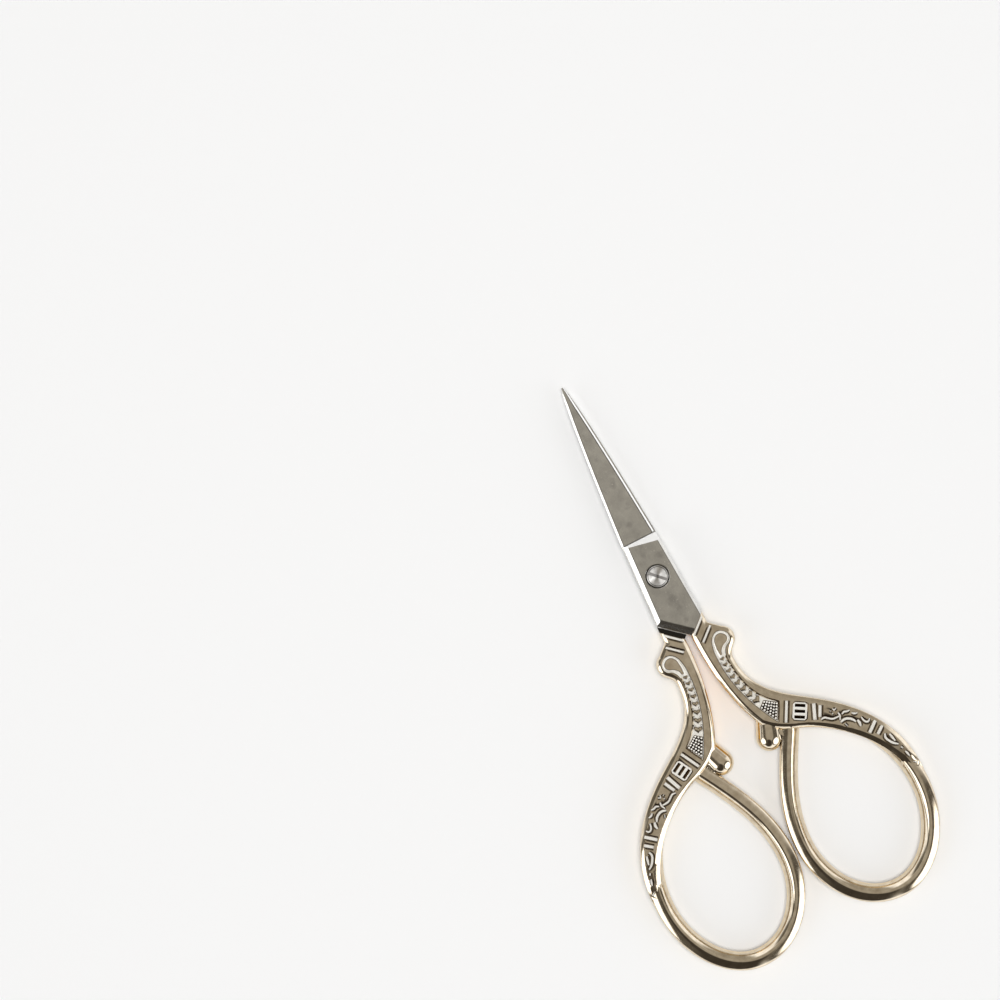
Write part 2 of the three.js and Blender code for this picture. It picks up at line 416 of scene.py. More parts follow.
# Handle: a plate with a scroll on its outer side, which forks into the finger bow
shank = {
    "gapHalf": 0.55,  # half the gap between the two shanks
    "shoulderReach": 7.8,
    "shoulderSlant": 2.6,
    "shoulderHalf": 3.55,
    "join": 0.01,  # left free at the shoulder
    "scroll": (4.5, -12.85),
    "scrollRadius": 1.9,
    "scrollFoot": -50,
    "scrollTop": 68,
    "notch": -9.6,
    "waist": (4.7, -16.1),
    "fork": (3.85, -27.1),
    "throat": (0.226, 0.062),  # from here to outerLead: shares of the bow's width and length
    "apex": (0.345, 0.092),
    "armLead": (0.593, 0.142),
    "armTail": (0.93, 0.329),
    "armEnd": (1, 0.535),
    "turn": (0.52, -0.02),
    "turnLead": (0.77, 0.09),
    "outerLead": (1, 0.25),
    "armTuck": 0.3,  # the arm's round end is this much slimmer than half the bar
    "innerLead": 0.6,  # these four: how far each curve follows its first direction
    "forkRun": 0.32,
    "turnOn": 0.78,
    "waistTail": 0.47,
    "edge": [  # inwards, up
        (0.03, 0.12), (0.05, 0.09), (0.4, 0.27), (0.13, 0.05), (0.12, 0.027), (0.1, 0.01),
    ],
    "steps": 20,
    "lowFrom": -40.5,  # the plate dives into the bar from here
    "lowTo": -46.0,
    "lowPast": 12,  # on the outer side only
    "lowShare": 0.28,
    "crisp": 32,  # edges sharper than this stay crisp, degrees
}

bow = {
    "gap": 0.3,
    "width": 22.75,
    "length": 32.9,
    "barWidth": 2.6,
    "barSection": [  # upper half, from the outer side to the inner
        (1.3, 0.4), (1.27, 0.75), (1.2, 0.93), (1.08, 1.05), (0.85, 1.16), (0.45, 1.32), (0.1, 1.42),
        (-0.2, 1.45), (-0.42, 1.4), (-0.6, 1.28), (-1.05, 0.78), (-1.33, 0.42), (-1.48, 0.1),
    ],
    "start": (0.305, 0.076),  # the bar's middle line, in shares of its width and length
    "route": [  # lead, tail and end of each stretch
        [(0.132, 0.266), (0, 0.418), (0, 0.608)],
        [(0, 0.82), (0.225, 1), (0.504, 1)],
        [(0.767, 1), (1, 0.807), (1, 0.582)],
        [(1, 0.377), (0.821, 0.193), (0.524, 0.06)],
    ],
    "steps": 40,
}

spur = {
    "ball": (4.1, -29.6),
    "radius": 1.95,
    "root": (4.95, -27.3),
    "rootRadius": 1.75,
    "heel": (5.55, -28.85),
    "heelRadius": 1.25,
    "leg": (0.254, 0.126),  # in shares of the bow's width and length
    "legRadius": 1.15,
    "grain": 0.1,  # mesh size while it is softened
    "softening": 9,
    "squash": 0.91,  # lower than it is wide
}

shoulderInner = Vector((shank["gapHalf"], -shank["shoulderReach"] - shank["shoulderSlant"]))
shoulderOuter = Vector((shank["shoulderHalf"], -shank["shoulderReach"]))
shoulderRun = (shoulderOuter - shoulderInner).normalized()
toBlade = Vector((-shoulderRun.y, shoulderRun.x))  # square to the shoulder, towards the blade


def onBow(share):  # a place on the bar's middle line, from shares of its width and length
    across, along = share
    x = (bow["gap"] + bow["barWidth"]) / 2 + across * (bow["width"] - bow["barWidth"])
    return Vector((x, shank["fork"][1] - along * (bow["length"] - bow["barWidth"] / 2)))


def armEdge():  # the arm's inner edge, from the fork to its end on the bar: start, lead, tail, end
    end = onBow(shank["armEnd"]) + Vector((2 * shank["armTuck"] - bow["barWidth"] / 2, 0))
    return onBow(shank["apex"]), onBow(shank["armLead"]), onBow(shank["armTail"]), end


def shankOutline():
    overBar = Vector((bow["barWidth"] / 2, 0))
    start = Vector((shank["gapHalf"], shoulderOuter.y))
    fork = Vector(shank["fork"])
    throat = onBow(shank["throat"])
    apex, armLead, armTail, armEnd = armEdge()
    runOut = onBow(shank["armEnd"]) + Vector((shank["armTuck"], 0))
    turn = onBow(shank["turn"])
    turnLead = onBow(shank["turnLead"])
    waist = Vector(shank["waist"])
    scroll = Vector(shank["scroll"])
    foot = math.radians(shank["scrollFoot"])
    scrollEnd = scroll + shank["scrollRadius"] * Vector((math.cos(foot), math.sin(foot)))
    notch = Vector((shank["shoulderHalf"], shank["notch"]))
    ahead = Vector((shank["shoulderHalf"], shoulderOuter.y + shank["shoulderSlant"]))
    innerLead = shoulderInner.lerp(Vector((shoulderInner.x, fork.y)), shank["innerLead"])
    forkEnd = fork.lerp(throat, shank["forkRun"])
    waistTail = waist.lerp(Vector((waist.x, fork.y)), shank["waistTail"])
    strokes = line(start, shoulderInner)
    strokes += bend(shoulderInner, innerLead, fork)
    strokes += line(fork, forkEnd)
    strokes += bend(forkEnd, throat, apex)
    strokes.append((armLead, armTail, armEnd))
    strokes += arc(runOut, bow["barWidth"] / 2 - shank["armTuck"], 180, 360)
    strokes.append((onBow(shank["outerLead"]) + overBar, turnLead, turn))
    strokes.append((turn.lerp(turnLead, -shank["turnOn"]), waistTail, waist))
    strokes += bend(waist, Vector((waist.x, (waist.y + scrollEnd.y) / 2)), scrollEnd)
    strokes += arc(scroll, shank["scrollRadius"], shank["scrollFoot"], shank["scrollTop"])
    strokes += line(strokes[-1][2], notch)
    strokes += line(notch, ahead)
    strokes += line(ahead, start)
    return knotsFrom(start, strokes)


# Struck ornament: a sunk field with a drop, a row of hearts and pearls, then bars, a comb and cut scrolls
relief = {
    "rim": (0.11, 0.04),  # inwards, down
    "wall": (0.15, 0.225),
    "crest": 0.01,  # how far the raised work stays under the plate's face
    "above": 0.5,  # how far a sinking cutter stands over the face
    "field": [
        (4.2, -11.4), (3.1, -12.0), (2.5, -13.5), (2.38, -15.5), (2.5, -17.6), (2.95, -20.0),
        (3.8, -22.8), (5.0, -25.5), (6.2, -27.7), (6.45, -27.95), (6.65, -27.65), (7.85, -25.4),
        (7.95, -25.1), (7.75, -24.85), (6.4, -23.6), (5.2, -21.8), (4.4, -19.6), (4.0, -17.2),
        (3.95, -15.3), (4.5, -14.2), (5.35, -13.7), (5.7, -12.95), (5.4, -12.0),
    ],
    "fieldBright": -15.3,  # round the drop its outer wall is satin with a painted highlight too
    "drop": [
        (4.2, -11.85), (3.35, -12.35), (3.05, -13.5), (3.05, -14.5), (3.2, -15.0), (3.6, -14.3),
        (4.2, -13.75), (5.0, -13.35), (5.25, -12.9), (5.05, -12.3),
    ],
    "dropMiddle": (4.05, -13.2),
    "dropFlare": 1.26,
    "dropSoft": 0.08,
    "hearts": [  # middle and width
        (3.12, -15.6, 0.65), (3.14, -16.6, 0.71), (3.2, -17.64, 0.77), (3.35, -18.72, 0.84),
        (3.6, -19.85, 0.91), (3.97, -21.05, 0.99), (4.42, -22.27, 1.09), (5.0, -23.5, 1.22),
    ],
    "heartSteps": 24,
    "heartLength": 0.85,  # shorter than a true heart
    "heartFlare": 0.14,
    "heartSoft": 0.06,
    "pearlSide": (0.24, 0.27),  # how far off the row, and more by this share of the heart's width
    "pearlRadius": (0.08, 0.07),  # the same way
    "pearlSunk": 0.02,  # under the raised work
    "studRound": 0.035,  # height of a raised piece's soft edge, then of its sides and its root
    "studSide": 0.2,
    "studRoot": 0.25,
    "lattice": [(6.32, -27.55), (7.68, -25.17), (5.85, -23.9), (4.8, -24.75)],  # base, then upper side
    "latticeRows": [6, 5, 5, 4, 4, 3],
    "latticePearl": 0.24,
    "latticeSunk": 0.03,  # under the field's floor
    "bars": [  # width, then each straight bar from the outer side to the inner
        (0.38, [(8.95, -25.55), (7.35, -28.5)]),
        (0.5, [(12.4, -27.75), (11.45, -30.1)]),
        (0.44, [(13.15, -28.4), (12.3, -30.05)]),
        (0.46, [(19.55, -34.25), (17.95, -35.55)]),
        (0.42, [(20.15, -35.4), (18.95, -36.3)]),
        (0.34, [(22.4, -42.85), (21.75, -42.5)]),
    ],
    "scrolls": [  # width, then the line it follows
        (0.24, [(14.58, -29.68), (14.65, -30.12)]),
        (0.24, [(15.08, -29.9), (14.65, -30.12)]),
        (0.32, [(14.1, -30.45), (14.34, -30.42)]),
        (0.2, [(14.0, -29.82), (14.18, -30.0)]),
        (0.26, [(12.3, -30.45), (12.85, -30.42), (13.3, -30.72), (13.85, -31.12), (14.45, -31.22),
                (15.0, -31.2)]),
        (0.26, [(15.05, -30.65), (15.1, -31.2), (14.8, -31.85)]),
        (0.26, [(15.45, -31.15), (15.9, -30.97), (16.35, -31.1), (16.8, -31.1)]),
        (0.28, [(16.85, -31.6), (17.2, -31.9), (17.65, -32.0)]),
        (0.34, [(14.75, -32.15), (15.45, -32.0), (16.05, -32.17), (16.55, -32.57), (16.85, -33.1)]),
        (0.4, [(17.15, -32.95), (17.28, -33.5), (17.2, -34.05)]),
        (0.18, [(15.25, -32.6), (15.45, -33.15)]),
        (0.26, [(17.88, -32.8), (17.98, -33.4), (18.28, -33.84), (18.65, -33.86), (18.9, -33.55)]),
        (0.32, [(19.95, -36.65), (19.78, -37.25), (20.08, -38.0), (20.5, -38.55), (21.1, -39.0)]),
        (0.34, [(20.55, -37.0), (20.68, -37.6), (20.85, -38.35)]),
        (0.3, [(21.2, -39.5), (21.4, -39.85)]),
        (0.3, [(21.5, -40.4), (21.68, -40.9), (21.78, -41.4)]),
    ],
    "strokeWall": (0.13, 0.2),  # run and depth of a stroke's sides, which are painted dark as shade
    "strokeLip": (0.17, 0.04),
    "strokeOver": 0.4,  # how far its cutter stands over the face
    "strokeEnds": (0.75, 0.6),  # a scroll narrows to these shares
    "ease": (0.9, 28),  # width and tilt of the slope along the arm's inner side
    "easeStart": 0.7,  # share of that width at the fork
    "easePast": 0.4,  # how far its cutter runs past the edge
    "combAt": (10.0, -27.88),
    "combTurn": -29.4,
    "combHalf": (1.25, 1.5),  # half its width and height
    "combRound": 0.4,
    "combRim": (0.05, 0.02),
    "combWall": (0.12, 0.12),
    "combPitch": 0.88,
    "combSlot": (0.8, 0.33, 0.5),  # half a slot's length and width, and its depth
    "bolsterBars": [(0.26, 0.32), (1.95, 0.3)],  # how far behind the shoulder, width
    "bolsterRun": (-0.3, 4.2),  # along the shoulder
    "bounceTintSpan": (-27, -10),  # the stretch of inner wall tinted amber, a painted reflection that warms the gap between the shanks
    "bounceTintTo": 4.2,
}


def sunk(wire, rim, wall):  # a cutter with a soft lip, sloping walls and a flat floor
    cutter = raiseOutline(wire, relief["above"], [rim, wall])
    place(cutter, shift=(0, 0, half + relief["above"]), size=(1, 1, -1))
    mergeUp(cutter)
    return cutter


def fieldMark(face):  # satin floor with a painted highlight, lip painted dark as shade, and walls that are satin with a painted highlight on the inner side
    level = abs(face.normal.z)
    if level > 0.97:
        return 1.0
    if level > 0.89:
        return -0.8
    inner = face.normal.x * 0.6 + face.normal.y * 0.8 < 0
    return 1.0 if inner or face.center.y > relief["fieldBright"] else 0.0


def cutStroke(plate, points, width, pointed):  # a shallow channel: satin floor with a painted highlight, sides painted dark as shade
    run, depth = relief["strokeWall"]
    lip, drop = relief["strokeLip"]
    over = relief["strokeOver"]
    floor = width / 2
    side = floor + run
    top = side + lip
    section = [
        (-floor, -depth), (floor, -depth), (side, -drop), (top, 0), (top, over), (-top, over), (-top, 0),
        (-side, -drop),
    ]
    path = layCurve("stroke", [(*p, half) for p in points], False, 2 if len(points) == 2 else 7)
    if pointed:
        knots = path.data.splines[0].bezier_points
        knots[0].radius, knots[-1].radius = relief["strokeEnds"]
    cutter = sweepSection(path, section)
    mark(cutter, lambda face: 1.0 if face.normal.z < -0.9 and face.center.z < half - 0.05 else -0.9)
    combine(plate, cutter, "DIFFERENCE")


def stud(wire, middle, flare, flank, soft):  # a flush boss: soft top edge, flanks that widen to the floor
    edge = half - relief["crest"] - relief["studRound"]
    piece = fillOutline(wire)
    bpy.ops.mesh.extrude_region_move(TRANSFORM_OT_translate={"value": (0, 0, -relief["studSide"])})
    bpy.ops.transform.resize(value=(flare, flare, 1), center_override=(*middle, 0))
    bpy.ops.mesh.extrude_region_move(TRANSFORM_OT_translate={"value": (0, 0, -relief["studRoot"])})
    closeOutwards()
    place(piece, shift=(0, 0, edge))
    openEdit(piece, lambda face: face.normal.z > 0.9)
    bpy.ops.mesh.inset(thickness=soft, depth=relief["studRound"], use_even_offset=True)
    closeEdit()

    def studMark(face):  # polished top, edge painted dark as shade
        if face.normal.z > 0.99:
            return 0.0
        return -0.9 if face.center.z > edge else flank

    return mark(piece, studMark)


def heartWire(x, y, width, turn):
    points = []
    steps = relief["heartSteps"]
    for i in range(steps):
        t = i / steps * 2 * math.pi
        u = 16 * math.sin(t) ** 3  # the heart curve, 32 wide
        v = 13 * math.cos(t) - 5 * math.cos(2 * t) - 2 * math.cos(3 * t) - math.cos(4 * t)
        spot = Vector((u, relief["heartLength"] * v + 2)) * width / 32
        spot.rotate(Matrix.Rotation(turn, 2))
        points.append((x + spot.x, y + spot.y))
    return layCurve("heart", points, True, 2)


def pearls(spots):  # place and radius of each, all with their crowns at one height
    crown = half - relief["crest"] - relief["pearlSunk"]
    balls = addBalls([((x, y, crown - radius), radius) for x, y, radius in spots], 16, 10)
    # crowns satin with a painted highlight, sides painted dark as shade
    return mark(balls, lambda face: 1.0 if face.normal.z > 0.75 else -0.9)


def strikeHearts(plate):
    hearts = relief["hearts"]
    off, offShare = relief["pearlSide"]
    size, sizeShare = relief["pearlRadius"]
    spots = []
    for i, (x, y, width) in enumerate(hearts):
        after = Vector(hearts[min(i + 1, len(hearts) - 1)][:2])
        before = Vector(hearts[max(i - 1, 0)][:2])
        run = (after - before).normalized()
        turn = math.atan2(run.y, run.x) + math.pi / 2
        wire = heartWire(x, y, width, turn)
        # the hearts' flanks are painted dark as shade
        heart = stud(wire, (x, y), 1 + relief["heartFlare"] / width, -0.7, relief["heartSoft"])
        combine(plate, heart, "UNION")
        if i + 1 < len(hearts):
            side = Vector((-run.y, run.x)) * (off + offShare * width)
            middle = (Vector((x, y)) + after) / 2
            for spot in (middle + side, middle - side):
                spots.append((spot.x, spot.y, size + sizeShare * width))
    combine(plate, pearls(spots), "UNION")


def strikeLattice(plate):
    a, b, c, d = [Vector(p) for p in relief["lattice"]]
    ground = raiseOutline(layCurve("ground", [a, b, c, d], True, 1, "VECTOR"), 1, [])
    place(ground, shift=(0, 0, half - relief["rim"][1] - relief["wall"][1] - relief["latticeSunk"]))
    # the lattice's sunk ground is painted dark as shade
    combine(plate, mark(ground, -0.9), "DIFFERENCE")
    rows = relief["latticeRows"]
    spots = []
    for row, count in enumerate(rows):
        left = a.lerp(d, (row + 0.5) / len(rows))
        right = b.lerp(c, (row + 0.5) / len(rows))
        for i in range(count):
            spot = left.lerp(right, (i + 0.5) / count)
            spots.append((spot.x, spot.y, relief["latticePearl"]))
    combine(plate, pearls(spots), "UNION")


def strikeComb(plate):  # a sunk panel with three slots
    middle = Vector(relief["combAt"])
    turn = math.radians(relief["combTurn"])
    across = Vector((math.cos(turn), math.sin(turn)))
    along = Vector((-across.y, across.x))
    wide, tall = relief["combHalf"]
    tuck = relief["combRound"]
    corners = []
    for sideX, sideY in ((-1, -1), (1, -1), (1, 1), (-1, 1)):
        ends = [(wide - tuck, tall), (wide, tall - tuck)]
        for u, v in ends if sideX * sideY < 0 else ends[::-1]:
            spot = middle + across * sideX * u + along * sideY * v
            corners.append((spot.x, spot.y))
    panel = sunk(layCurve("comb", corners, True, 1, "VECTOR"), relief["combRim"], relief["combWall"])
    # the panel's floor is satin with a painted highlight, its walls painted dark as shade
    combine(plate, mark(panel, lambda face: 1.0 if abs(face.normal.z) > 0.97 else -1.0), "DIFFERENCE")
    reach, side, deep = relief["combSlot"]
    over = relief["strokeOver"]
    for i in (-1, 0, 1):
        spot = middle + along * i * relief["combPitch"]
        ends = [spot - across * reach, spot + across * reach]
        path = layCurve("slot", [(*p, half) for p in ends], False, 2)
        cutter = sweepSection(path, [(0, -deep), (side, 0), (side, over), (-side, over), (-side, 0)])
        # the slots are painted dark as shade, a little less on the walls that face one way
        mark(cutter, lambda face: -0.4 if along.dot(face.normal.xy) > 0.5 else -1.0)
        combine(plate, cutter, "DIFFERENCE")


def bounceTintWall(face):  # painted reflection: the upright side that faces the other shank is tinted amber, which warms the gap between the shanks
    low, high = relief["bounceTintSpan"]
    upright = abs(face.normal.z) < 0.4 and face.normal.x < -0.3
    return 2.0 if upright and low < face.center.y < high and face.center.x < relief["bounceTintTo"] else 0.0


def easeArm(plate):  # a polished slope along the arm's inner edge
    apex, lead, tail, end = armEdge()
    edge = layCurve("ease", knotsFrom(apex, [(lead, tail, end)], closed=False), False, 24, "FREE")
    place(edge, shift=(0, 0, half))
    edge.data.splines[0].bezier_points[0].radius = relief["easeStart"]
    width, tilt = relief["ease"]
    past = relief["easePast"]
    low = (width + past) * math.tan(math.radians(tilt))
    over = relief["above"]
    cutter = sweepSection(edge, [(-width, 0), (past, -low), (past, over), (-width, over)])
    combine(plate, mark(cutter, 0.0), "DIFFERENCE")


def strikeOrnament(plate):
    mark(plate, bounceTintWall)
    easeArm(plate)
    field = sunk(layCurve("field", relief["field"], True, 7), relief["rim"], relief["wall"])
    combine(plate, mark(field, fieldMark), "DIFFERENCE")
    print("field sunk:", len(plate.data.polygons), "faces")
    wire = layCurve("drop", relief["drop"], True, 6)
    # the drop's flanks are satin with a painted highlight
    combine(plate, stud(wire, relief["dropMiddle"], relief["dropFlare"], 1.0, relief["dropSoft"]), "UNION")
    strikeHearts(plate)
    strikeLattice(plate)
    print("drop, hearts and pearls raised:", len(plate.data.polygons), "faces")
    for width, points in relief["bars"]:
        cutStroke(plate, points, width, False)
    strikeComb(plate)
    for width, points in relief["scrolls"]:
        cutStroke(plate, points, width, True)
    for back, width in relief["bolsterBars"]:
        spot = shoulderInner - toBlade * back
        cutStroke(plate, [spot + shoulderRun * run for run in relief["bolsterRun"]], width, False)
    print("bars, comb, scrolls and bolster cut:", len(plate.data.polygons), "faces")


def bowBar():
    strokes = [[onBow(share) for share in stretch] for stretch in bow["route"]]
    knots = knotsFrom(onBow(bow["start"]), strokes, closed=False)
    wire = layCurve("bowBar", knots, False, bow["steps"], "FREE")
    upper = bow["barSection"]
    return sweepSection(wire, upper + [(across, -up) for across, up in reversed(upper)])


def stretched(ends):  # a ball drawn out to a second one
    piece = addBalls([((*spot, 0), radius) for spot, radius in ends], 48, 24)
    openEdit(piece)
    bpy.ops.mesh.convex_hull()
    closeEdit()
    return piece


def spurKnob():
    knob = stretched([(spur["root"], spur["rootRadius"]), (spur["ball"], spur["radius"])])
    bridge = stretched([(onBow(spur["leg"]), spur["legRadius"]), (spur["heel"], spur["heelRadius"])])
    knob = joined([knob, bridge])
    knob.data.remesh_voxel_size = spur["grain"]
    bpy.ops.object.voxel_remesh()
    soft = knob.modifiers.new("soft", "SMOOTH")
    soft.factor = 0.5
    soft.iterations = spur["softening"]
    bpy.ops.object.modifier_apply(modifier=soft.name)
    place(knob, size=(1, 1, spur["squash"]))
    return knob


def lowerRunOut(plate):  # the plate thins towards its end, down to the bar
    span = shank["lowTo"] - shank["lowFrom"]
    for v in plate.data.vertices:
        t = min(max((v.co.y - shank["lowFrom"]) / span, 0), 1) if v.co.x > shank["lowPast"] else 0
        v.co.z *= 1 - (1 - shank["lowShare"]) * t * t * (3 - 2 * t)


def buildHandle():
    edge = shank["edge"]
    wall = half - sum(rise for run, rise in edge)
    plate = raiseOutline(layCurve("shank", shankOutline(), True, shank["steps"], "FREE"), wall, edge)
    openEdit(plate)
    trim((*(shoulderInner - toBlade * shank["join"]), 0), (*toBlade, 0))
    closeEdit()
    mergeUp(plate)
    print("plate cut at the shoulder:", len(plate.data.polygons), "faces")
    strikeOrnament(plate)
    openEdit(plate, lambda face: face.center.z < 0.001 and face.normal.z < -0.9)
    bpy.ops.mesh.delete(type="ONLY_FACE")
    closeEdit()
    pick(plate)
    twin = plate.modifiers.new("twin", "MIRROR")
    twin.use_axis = (False, False, True)
    twin.merge_threshold = 0.001
    bpy.ops.object.modifier_apply(modifier=twin.name)
    lowerRunOut(plate)
    combine(plate, bowBar(), "UNION")
    combine(plate, spurKnob(), "UNION")
    print("handle shaped:", len(plate.data.polygons), "faces")
    return plate


# Blade and pivot block: bare steel in front of the shoulder
steelHalf = {
    "foot": 0.03,  # clear of the other half
    "reach": 31.9,
    "rootWidth": 5.7,
    "tipWidth": 0.3,
    "rootThick": 1.3,
    "tipThick": 0.5,
    "belly": 0.72,  # how the blade narrows
    "tipSlope": 0.25,  # the tip is ground thin, to this slope
    "spineChamfer": 0.3,
    "chamferMost": 0.4,  # of half the blade's width
    "chamferDrop": 0.58,  # of its own width
    "edgeSetback": 0.2,
    "setbackFade": 8,  # gone at the tip
    "line": 0.13,  # a strip along each ridge, painted dark as shade
    "lineMost": 0.15,  # of the face between the ridges
    "edgeThick": 0.06,
    "whetRun": 0.25,  # the whetted strip along the cutting edge
    "whetRise": 0.22,
    "whetMost": 0.2,  # of the blade's width
    "stations": 26,
    "stepReach": 6.3,
    "stepProfile": [(0, 0), (40, 0), (40, 6), (-6, 6), (-0.16, 0.22)],  # forwards, up
    "stepSoft": 0.3,
    "frontHalf": 2.8,
    "endReach": 6.9,
    "spare": 2,  # the block is drawn longer by this in front, then cut
    "spareBack": 6,
    "edge": [(0.03, 0.1), (0.13, 0.13), (0.62, 0.36), (0.1, 0.02)],  # inwards, up
    "narrow": 0.4,  # by this much less on the cutting side
    "rollOff": [  # how far from the slanted end, tilt
        (1.3, 6), (1.15, 12), (1.0, 18), (0.85, 24), (0.7, 30), (0.1, 52),
    ],
    "shadedCornerOut": (0.723, -0.691),  # which way the inner face's corner that is painted as shade lies
    "shadedCornerRun": 0.3,
    "crisp": 9,  # edges sharper than this stay crisp, degrees
}

pivotFit = {
    "bore": 1.05,
    "tapped": 1.02,
    "through": 3,  # how far a hole's cutter runs each way
    "seat": 1.8,
    "seatFloor": 1.25,  # above the mid-plane
    "seatLip": 0.12,
    "sides": 96,
}


def bladeCorners(along):  # spine at -x, cutting edge at +x, flat inner face below
    b = steelHalf
    spine = (b["tipWidth"] + (b["rootWidth"] - b["tipWidth"]) * (1 - along) ** b["belly"]) / 2
    edge = spine - b["edgeSetback"] * (1 - along ** b["setbackFade"])
    chamfer = min(b["spineChamfer"], b["chamferMost"] * spine)
    ridge = chamfer - spine
    run = min(b["whetRun"], b["whetMost"] * (spine + edge))
    whet = edge - run
    whetTop = b["edgeThick"] + b["whetRise"] * run / b["whetRun"]
    thick = b["rootThick"] + (b["tipThick"] - b["rootThick"]) * along
    thick = min(thick, whetTop + b["tipSlope"] * (whet - ridge))
    fall = (thick - whetTop) / (whet - ridge)
    strip = min(b["line"], b["lineMost"] * (whet - ridge))
    return [
        (-spine, 0), (-spine, thick - b["chamferDrop"] * chamfer), (ridge, thick),
        (ridge + strip, thick - fall * strip), (whet - strip, whetTop + fall * strip), (whet, whetTop),
        (edge, b["edgeThick"]), (edge, 0),
    ]


def bladeMark(face):  # painted shade along each ridge, and a painted highlight along the whetted strip
    sides = len(bladeCorners(0))
    strip = tuple(sorted({v % sides for v in face.vertices}))
    return {(2, 3): -0.45, (4, 5): -0.7, (5, 6): 1.0}.get(strip, 0.0)


def bladeLoft():
    b = steelHalf
    stations = [(0, b["stepReach"] / 2)]
    for i in range(b["stations"] + 1):
        along = i / b["stations"]
        stations.append((along, b["stepReach"] + along * (b["reach"] - b["stepReach"])))
    rings = []
    for along, y in stations:
        corners = bladeCorners(along)
        bpy.ops.mesh.primitive_circle_add(vertices=len(corners), radius=1)
        ring = bpy.context.object
        for v, (x, z) in zip(ring.data.vertices, corners):
            v.co = (x, y, z + b["foot"])
        rings.append(ring)
    loft = joined(rings)
    bpy.context.tool_settings.mesh_select_mode = (False, True, False)
    bpy.ops.object.mode_set(mode="EDIT")
    bpy.ops.mesh.select_all(action="SELECT")
    bpy.ops.mesh.bridge_edge_loops(type="SINGLE")
    bpy.ops.mesh.select_all(action="SELECT")
    bpy.ops.mesh.fill_holes(sides=0)
    closeOutwards()
    return mark(loft, bladeMark)


def stepCutter():  # ground away in front of the block, up a 45 degree ramp that leans with the blade's face
    b = steelHalf
    corners = bladeCorners(0)
    ridge, whet = corners[2], corners[5]
    lean = math.atan((ridge[1] - whet[1]) / (whet[0] - ridge[0]))
    wide = 20
    cutter = raiseOutline(layCurve("step", b["stepProfile"], True, 1, "VECTOR"), wide, [])
    place(cutter, shift=(-wide / 2, 0, 0), turn=(math.pi / 2, 0, math.pi / 2))
    place(cutter, shift=(ridge[0], b["stepReach"], b["foot"] + ridge[1]), turn=(0, lean, 0))
    mergeUp(cutter)
    return cutter


def softenStep(block):  # rounds the edge between the ramp and the block's face
    openEdit(block)
    bpy.ops.mesh.select_all(action="DESELECT")
    bpy.ops.mesh.select_mode(type="EDGE")
    shape = bmesh.from_edit_mesh(block.data)
    for edge in shape.edges:
        normals = [face.normal for face in edge.link_faces]
        tops = [n for n in normals if n.z > 0.999]
        ramps = [n for n in normals if n.y > 0.5 and 0.3 < n.z < 0.95]
        edge.select_set(len(tops) == 1 and len(ramps) == 1)
    bmesh.update_edit_mesh(block.data)
    bpy.ops.mesh.bevel(offset=steelHalf["stepSoft"], segments=8, affect="EDGES")
    closeEdit()


def rollEnd(block, endFrom, outwards):  # the slanted end bends down in flats, each steeper than the last
    drop = 0
    lastStart, lastTilt = steelHalf["rollOff"][0]
    for start, tilt in steelHalf["rollOff"]:
        drop += (lastStart - start) * math.tan(math.radians(lastTilt))
        spot = endFrom - outwards * start
        lean = math.radians(tilt)
        openEdit(block)
        trim((*spot, half - drop), (*(outwards * math.sin(lean)), math.cos(lean)))
        closeEdit()
        lastStart, lastTilt = start, tilt


def pivotBlock():
    b = steelHalf
    ahead = b["stepReach"] + b["spare"]
    back = shoulderInner.y - b["spareBack"]
    share = (b["stepReach"] + b["endReach"]) / (b["stepReach"] + shank["shoulderReach"])
    endHalf = b["frontHalf"] + (shank["shoulderHalf"] - b["frontHalf"]) * share
    slant = (endHalf - b["frontHalf"]) / (b["stepReach"] + b["endReach"])
    aheadHalf = b["frontHalf"] - b["spare"] * slant
    endFrom = Vector((-endHalf, -b["endReach"]))
    corners = [
        (-aheadHalf, ahead),
        tuple(endFrom),
        tuple(shoulderInner),
        (shoulderInner.x, back),
        (shoulderOuter.x + b["narrow"], back),
        (shoulderOuter.x + b["narrow"], shoulderOuter.y),
        (aheadHalf + b["narrow"], ahead),
    ]
    wall = half - b["foot"] - sum(rise for run, rise in b["edge"])
    block = raiseOutline(layCurve("block", corners, True, 1, "VECTOR"), wall, b["edge"])
    place(block, shift=(0, 0, b["foot"]))
    endRun = (shoulderInner - endFrom).normalized()
    rollEnd(block, endFrom, Vector((endRun.y, -endRun.x)))
    side = (Vector((aheadHalf, ahead)) - shoulderOuter).normalized()
    openEdit(block)
    trim((*shoulderOuter, 0), (side.y, -side.x, 0))
    trim((*(shoulderInner + toBlade * shank["join"]), 0), (*toBlade, 0), keepBelow=False)
    trim((0, b["stepReach"], 0), (0, 1, 0))
    closeEdit()
    mergeUp(block)
    return block


def bore(radius, foot, top, lip=0):
    bpy.ops.object.select_all(action="DESELECT")
    bpy.ops.mesh.primitive_cylinder_add(
        vertices=pivotFit["sides"], radius=radius, depth=top - foot, location=(0, 0, (top + foot) / 2))
    cutter = bpy.context.object
    bpy.ops.object.transform_apply(location=True, rotation=True, scale=True)
    if lip:
        flare = 3 * lip  # well past the face
        wider = (radius + flare) / radius
        openEdit(cutter, lambda face: face.normal.z > 0.9)
        bpy.ops.mesh.extrude_region_move(TRANSFORM_OT_translate={"value": (0, 0, flare)})
        bpy.ops.transform.resize(value=(wider, wider, 1), center_override=(0, 0, top))
        closeEdit()
    return cutter


